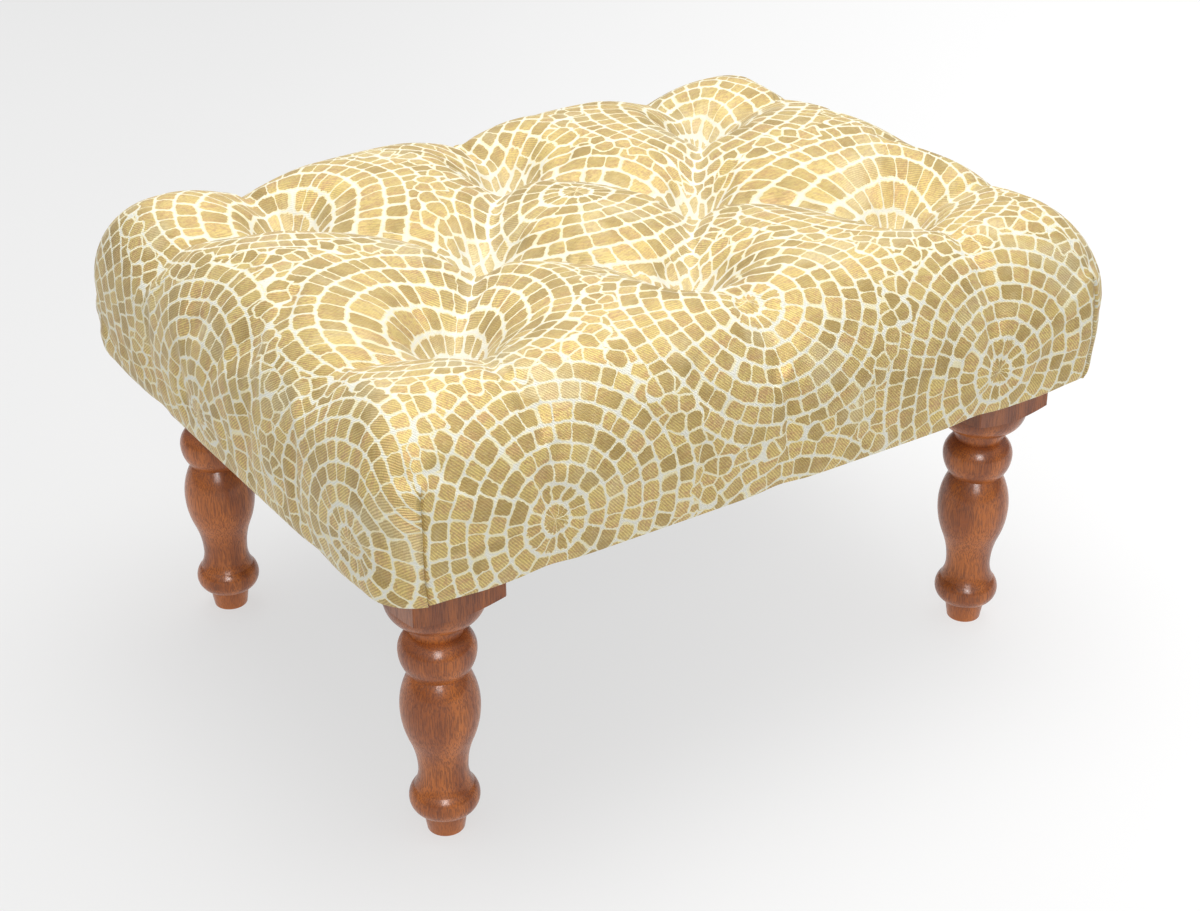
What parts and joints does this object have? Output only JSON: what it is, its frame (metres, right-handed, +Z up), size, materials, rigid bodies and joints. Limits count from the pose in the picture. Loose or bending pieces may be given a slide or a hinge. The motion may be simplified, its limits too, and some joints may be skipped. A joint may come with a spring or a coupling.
{
  "type": "footstool",
  "caption": "Rectangular deep-buttoned footstool: a tufted fabric cushion on a wooden frame with turned wooden legs.",
  "frame": {"origin": "on the floor, under the middle of the seat", "axes": "+X along the long side of the seat, +Y from front to back, +Z up"},
  "size_m": [0.612, 0.482, 0.35],
  "materials": {
    "cover_fabric": "woven cloth printed with gold tiles on an off-white ground, slight metallic sheen",
    "turned_wood": "reddish brown stain, satin varnish",
    "frame_wood": "planed, unfinished",
    "plywood": "sanded, unfinished",
    "foam": "open-cell upholstery foam",
    "wadding_fibre": "soft polyester wadding",
    "dust_cloth": "thin black non-woven cloth",
    "steel_screw": "zinc-plated steel",
    "twine": "waxed upholstery twine"
  },
  "bodies": {
    "root": {"bottom_cloth": "dust_cloth", "button_anchors": "steel_screw", "button_twine_1": "twine", "button_twine_2": "twine", "button_twine_3": "twine", "button_twine_4": "twine", "button_twine_5": "twine", "button_twine_6": "twine", "button_twine_7": "twine", "button_twine_8": "twine", "cloth_staples": "steel_screw", "corner_block_front_left": "frame_wood", "corner_block_front_right": "frame_wood", "corner_block_rear_left": "frame_wood", "corner_block_rear_right": "frame_wood", "corner_block_screws": "steel_screw", "cover_staples": "steel_screw", "deck_board": "plywood", "deck_screws": "steel_screw", "foam_pad": "foam", "front_rail": "frame_wood", "left_rail": "frame_wood", "leg_bolts": "steel_screw", "leg_front_left": "turned_wood", "leg_front_right": "turned_wood", "leg_rear_left": "turned_wood", "leg_rear_right": "turned_wood", "rail_screws": "steel_screw", "rear_rail": "frame_wood", "right_rail": "frame_wood", "seat_cover": "cover_fabric", "tee_nuts": "steel_screw", "tuft_button_1": "cover_fabric", "tuft_button_2": "cover_fabric", "tuft_button_3": "cover_fabric", "tuft_button_4": "cover_fabric", "tuft_button_5": "cover_fabric", "tuft_button_6": "cover_fabric", "tuft_button_7": "cover_fabric", "tuft_button_8": "cover_fabric", "wadding": "wadding_fibre"}
  },
  "joints": []
}
